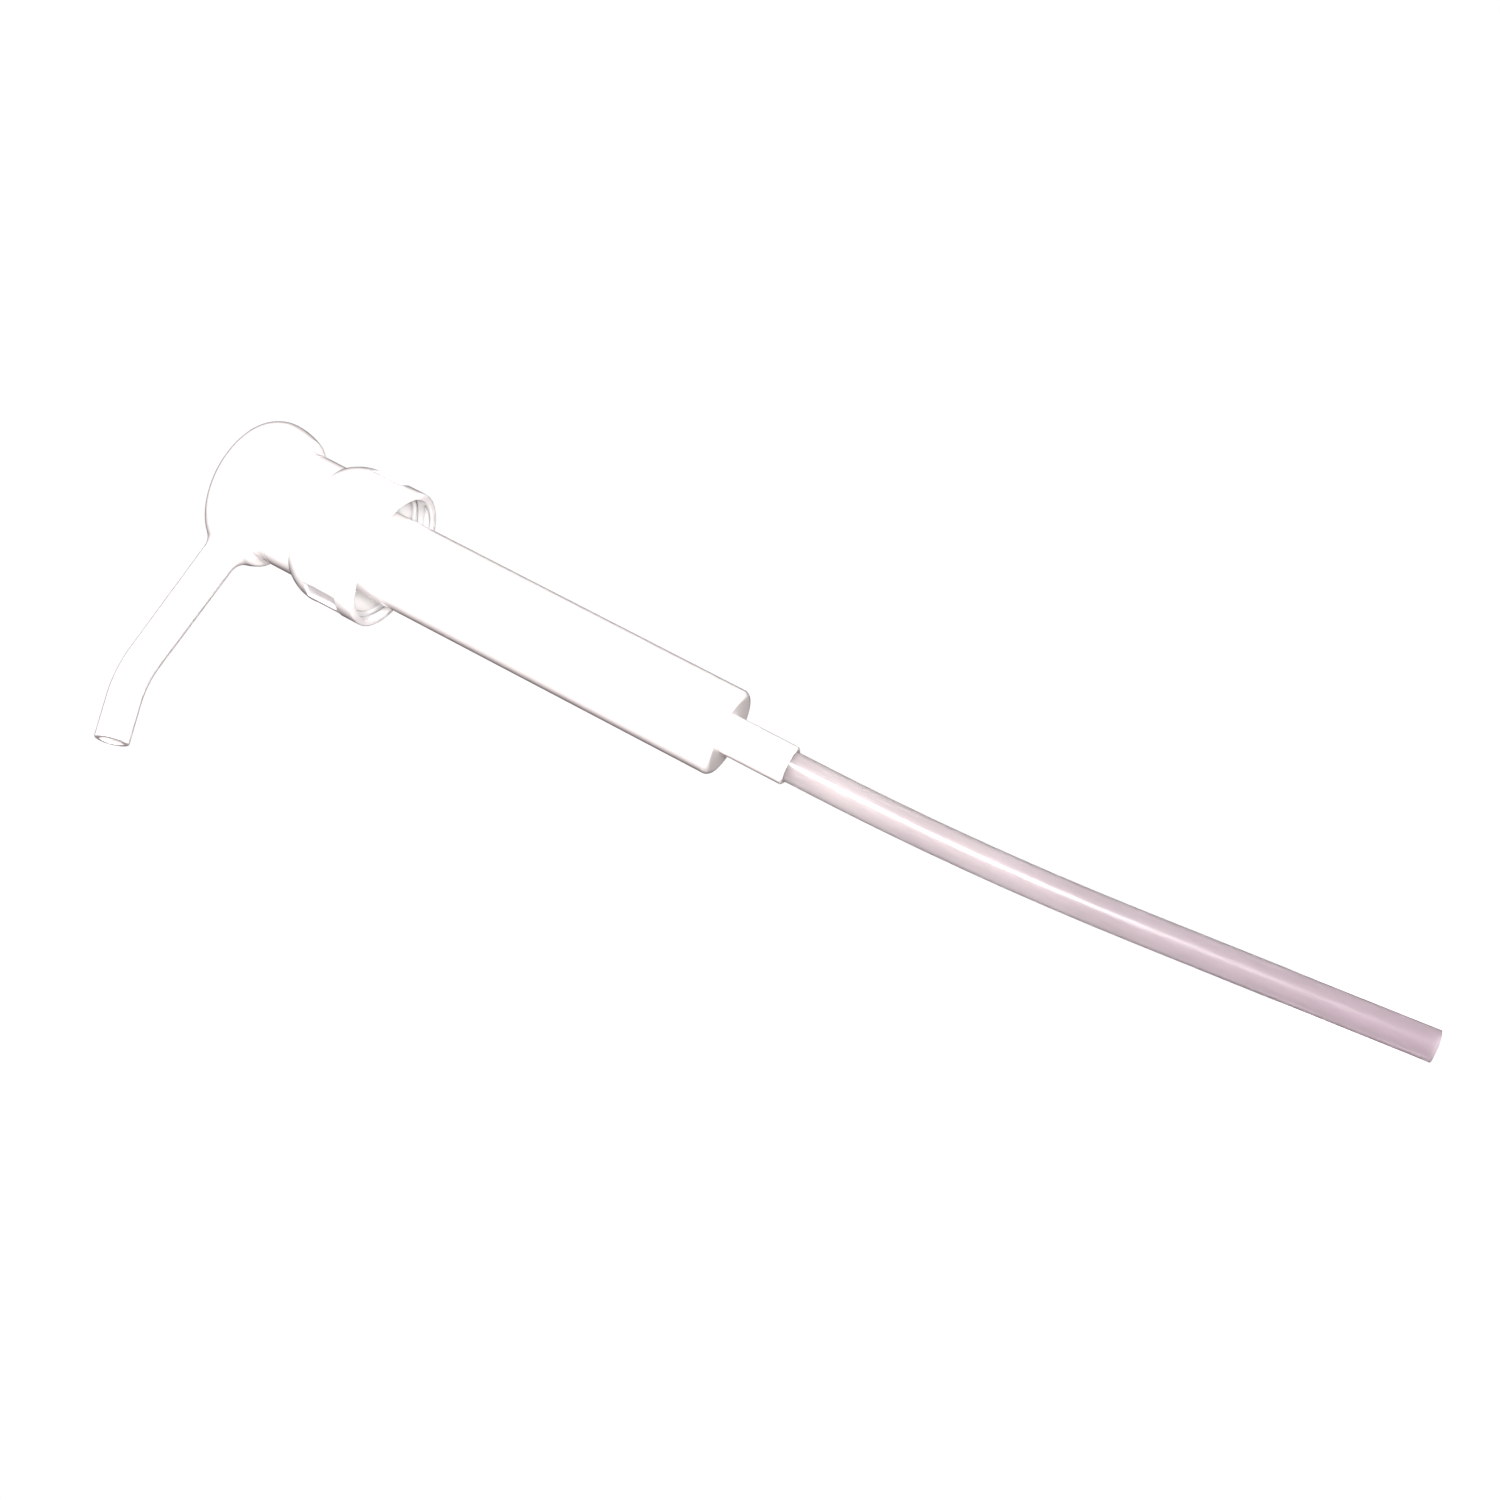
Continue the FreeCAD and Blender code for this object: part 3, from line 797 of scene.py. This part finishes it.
    def wall(self, shape: bmesh.types.BMesh) -> None:
        """Makes the cap's wall.

        Args:
            shape: Where it is made.
        """
        columns = self.columns()
        rows = []
        for radius, height in self.outside():
            depth = max(radius - self.flute_floor, 0.0)
            row = []
            for turn, off in columns:
                share = self.flute_depth_share(off, height)
                row.append(ring_point(radius - depth * share, turn, height))
            rows.append(row)
        rows += [[ring_point(r, turn, z) for turn, _ in columns] for r, z in self.inside()]
        skin(shape, rows)

    def thread(self, shape: bmesh.types.BMesh) -> None:
        """Makes the ridge of the thread, which runs out at both ends.

        Args:
            shape: Where it is made.
        """
        inwards, upwards = self.thread_bevel
        end = FULL_TURN * self.thread_turns
        rows = []
        for i in range(self.thread_steps + 1):
            turn = end * i / self.thread_steps
            fade = min(turn, end - turn, self.thread_fade) / self.thread_fade
            grown = math.sin(fade * math.pi / 2) * (1 - self.thread_end) + self.thread_end
            crest = self.thread_root - (self.thread_root - self.thread_crest) * grown
            middle = self.thread_low + self.thread_pitch * turn / FULL_TURN
            wide, narrow = self.thread_wide * grown, self.thread_narrow * grown
            half = [(crest, narrow - upwards), (crest + inwards, narrow + upwards),
                    (self.thread_root, wide)]
            section = [(r, -z) for r, z in reversed(half)] + half
            rows.append([shape.verts.new(ring_point(r, turn, middle + z)) for r, z in section])
        for row, after in zip(rows, rows[1:]):
            for j, corner in enumerate(row):
                k = (j + 1) % len(row)
                shape.faces.new((corner, row[k], after[k], after[j]))
        for row in (rows[0], rows[-1]):
            shape.faces.new(row)

    def build(self) -> None:
        """Builds the cap, dresses it and puts it in the CAD cap's place."""
        shape = bmesh.new()
        self.wall(shape)
        self.thread(shape)
        new_piece("screw_cap", shape, self.finish.material(), Body.CAP, "closure")


@dataclass
class FoamRing:
    """The foam sealing ring under the barrel's flange: crowned edges and a slightly uneven cut.

    Sizes are in millimetres.
    """

    hole: float = 12.92
    steps: int = 120
    crown: float = 0.32
    crown_share: float = 0.3
    unevenness: float = 0.1
    waves: float = 3.0
    finish: SoftSeal = FOAM_WHITE

    def section(self, low: Vector, high: Vector) -> list[Point]:
        """The ring's section, with its four corners crowned.

        Args:
            low: The lowest corner of the ring's box.
            high: The highest corner of the ring's box.

        Returns:
            The points.
        """
        whole, part = self.crown, self.crown * self.crown_share
        corners = ((high.x, high.z, -1, -1), (self.hole, high.z, 1, -1),
                   (self.hole, low.z, 1, 1), (high.x, low.z, -1, 1))
        points = []
        for i, (radius, height, inwards, up) in enumerate(corners):
            crowned = [(radius, height + up * whole), (radius + inwards * part, height + up * part),
                       (radius + inwards * whole, height)]
            points += reversed(crowned) if i % 2 else crowned
        return points

    def build(self) -> None:
        """Builds the ring inside the CAD gasket's box and puts it in its place."""
        low, high = (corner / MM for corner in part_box("neck_gasket"))
        middle = (self.hole + high.x) / 2
        shape = bmesh.new()
        rows = []
        for radius, height in self.section(low, high):
            row = []
            for i in range(self.steps):
                turn = FULL_TURN * i / self.steps
                wave = noise.noise(Vector(ring_point(self.waves / MM, turn, 0.0)))
                trim = self.unevenness * (0.5 + 0.5 * wave) if radius > middle else 0.0
                row.append(ring_point(radius - trim, turn, height))
            rows.append(row)
        skin(shape, rows)
        new_piece("foam_gasket", shape, self.finish.material(), Body.PUMP, "neck_gasket")


@dataclass(frozen=True)
class SoftLamp:
    """A soft rectangular lamp, in metres and watts. The second of its sides is the upright one."""

    name: str
    place: Place
    aim: Place
    sides: Point
    power: float
    mirrored: bool = False
    colour: Colour = (1, 0.985, 0.975)

    def hang(self) -> None:
        """Hangs the lamp, out of the camera's sight, and out of the gloss unless it is mirrored."""
        data = bpy.data.lights.new(self.name, "AREA")
        data.shape = "RECTANGLE"
        data.size, data.size_y = self.sides
        data.energy = self.power
        data.color = self.colour
        lamp = bpy.data.objects.new(self.name, data)
        bpy.context.scene.collection.objects.link(lamp)
        lamp.location = self.place
        lamp.rotation_mode = "QUATERNION"
        lamp.rotation_quaternion = (Vector(self.aim) - lamp.location).to_track_quat("-Z", "Y")
        lamp.visible_camera = False
        lamp.visible_glossy = lamp.visible_transmission = self.mirrored


# One in front, two low ones that reach into the cap, and one behind.
LAMPS = (
    SoftLamp("front_soft", (-0.01, -0.85, -0.07), (0, 0, -0.10), (0.24, 0.22), 10, mirrored=True),
    SoftLamp("low_soft", (-0.09, -0.62, -0.37), (0, 0, -0.05), (0.2, 0.2), 22),
    SoftLamp("back_soft", (0.25, 1.05, 0.11), (0, 0, -0.1), (0.3, 0.3), 9),
    SoftLamp("under_soft", (0.05, -0.34, -0.66), (0, 0, -0.01), (0.25, 0.25), 18),
)


@dataclass
class Studio:
    """Plain pale floor, white surround, soft lights and the camera."""

    floor_gap: float = 0.2 * MM
    floor_radius: float = 1.0
    floor_fade: Point = (0.95, 0.3)
    floor_corners: int = 96
    floor_glow: float = 0.75
    floor_white: Colour = (0.93, 0.925, 0.925)
    floor_mottle: Colour = (0.95, 0.945, 0.945)
    floor_glow_colour: Colour = (1.0, 0.99, 0.99)
    mottle_pattern: Pattern = Pattern(9, 3.0)
    seen_white: Colour = (1.02, 1.02, 1.02)
    fill: Colour = (0.35, 0.275, 0.285)
    dark_cards: Colour = (0.02, 0.004, 0.008)
    overhead: Point = (0.8, 1.0)
    target: Vector = field(default_factory=lambda: Vector((-1.189, 0, -130.735)) * MM)
    azimuth: float = math.radians(13.14)
    elevation: float = math.radians(-12.702)
    roll: float = math.radians(-62.524)
    distance: float = 580.115 * MM
    sensor: float = 36.0
    focal_length: float = 50.402016
    sight: Point = (0.01, 20.0)

    def floor(self, lowest: float) -> None:
        """Lays the floor under the lowest point. It fades into the white surround.

        Args:
            lowest: The object's lowest point.
        """
        mesh = bpy.data.meshes.new("floor")
        shape = bmesh.new()
        bmesh.ops.create_circle(shape, cap_ends=True, radius=self.floor_radius,
                                segments=self.floor_corners)
        shape.to_mesh(mesh)
        shape.free()
        floor = bpy.data.objects.new("floor", mesh)
        bpy.context.scene.collection.objects.link(floor)
        floor.location.z = lowest - self.floor_gap
        material, tree = new_material("floor_white")
        reach = tree.add("ShaderNodeVectorMath", {"operation": "LENGTH"}, {
            0: tree.place()}).signal("Value")
        outer, inner = (self.floor_radius * share for share in self.floor_fade)
        shader = tree.add("ShaderNodeBsdfPrincipled", inputs={
            "Base Color": tree.mix(tree.noise(self.mottle_pattern), self.floor_white,
                                   self.floor_mottle),
            "Roughness": 0.7,
            "Specular IOR Level": 0.1,
            "Emission Color": (*self.floor_glow_colour, 1),
            "Emission Strength": self.floor_glow,
            "Alpha": reach.ramp(outer, inner),
        })
        tree.finish(shader.out())
        mesh.materials.append(material)
        floor.visible_diffuse = floor.visible_glossy = False

    def surround(self) -> None:
        """White to look at and to look through, darker where the gloss mirrors it, a soft fill."""
        world = bpy.data.worlds.new("surround")
        bpy.context.scene.world = world
        tree = ShaderTree(world)
        spot = tree.add("ShaderNodeTexCoord").out("Generated")
        up = tree.add("ShaderNodeSeparateXYZ", inputs={0: spot}).signal("Z")
        rays = tree.add("ShaderNodeLightPath")
        mirrored = tree.mix(up.ramp(*self.overhead), self.dark_cards, self.fill)
        lit = tree.mix(rays.signal("Is Glossy Ray"), self.fill, mirrored)
        seen = (rays.signal("Is Camera Ray") + rays.signal("Is Transmission Ray")).kept()
        light = tree.add("ShaderNodeBackground", inputs={
            "Color": tree.mix(seen, lit, self.seen_white), "Strength": 1.0})
        tree.add("ShaderNodeOutputWorld", inputs={"Surface": light.out()})

    def camera(self) -> None:
        """Stands the camera where the pump lies across the frame."""
        az, el = self.azimuth, self.elevation
        ahead = Vector((math.sin(az) * math.cos(el), math.cos(az) * math.cos(el), -math.sin(el)))
        level = ahead.cross(AXIS).normalized()
        upright = level.cross(ahead)
        right = level * math.cos(self.roll) + upright * math.sin(self.roll)
        top = upright * math.cos(self.roll) - level * math.sin(self.roll)
        data = bpy.data.cameras.new("camera")
        data.sensor_width, data.lens = self.sensor, self.focal_length
        data.clip_start, data.clip_end = self.sight
        camera = bpy.data.objects.new("camera", data)
        bpy.context.scene.collection.objects.link(camera)
        turned = Matrix((right, top, -ahead)).transposed().to_4x4()
        camera.matrix_world = Matrix.Translation(self.target - ahead * self.distance) @ turned
        bpy.context.scene.camera = camera

    def build(self, lowest: float) -> None:
        """Sets the whole studio up.

        Args:
            lowest: The object's lowest point.
        """
        self.floor(lowest)
        self.surround()
        for lamp in LAMPS:
            lamp.hang()
        self.camera()
        bpy.context.scene.view_settings.view_transform = "Standard"


def main() -> None:
    """Builds and dresses the pump, then the studio round it."""
    logging.basicConfig(level=logging.INFO, format="%(name)s: %(message)s")
    for carried in (PushHead, LockCollar, Barrel, DipTube,
                    PlungerRod, Seals, ReturnSpring, CheckBalls):
        carried().dress()
    ScrewCap().build()
    FoamRing().build()
    Studio().build(CAD_BOX[0].z)


if __name__ == "__main__":
    main()
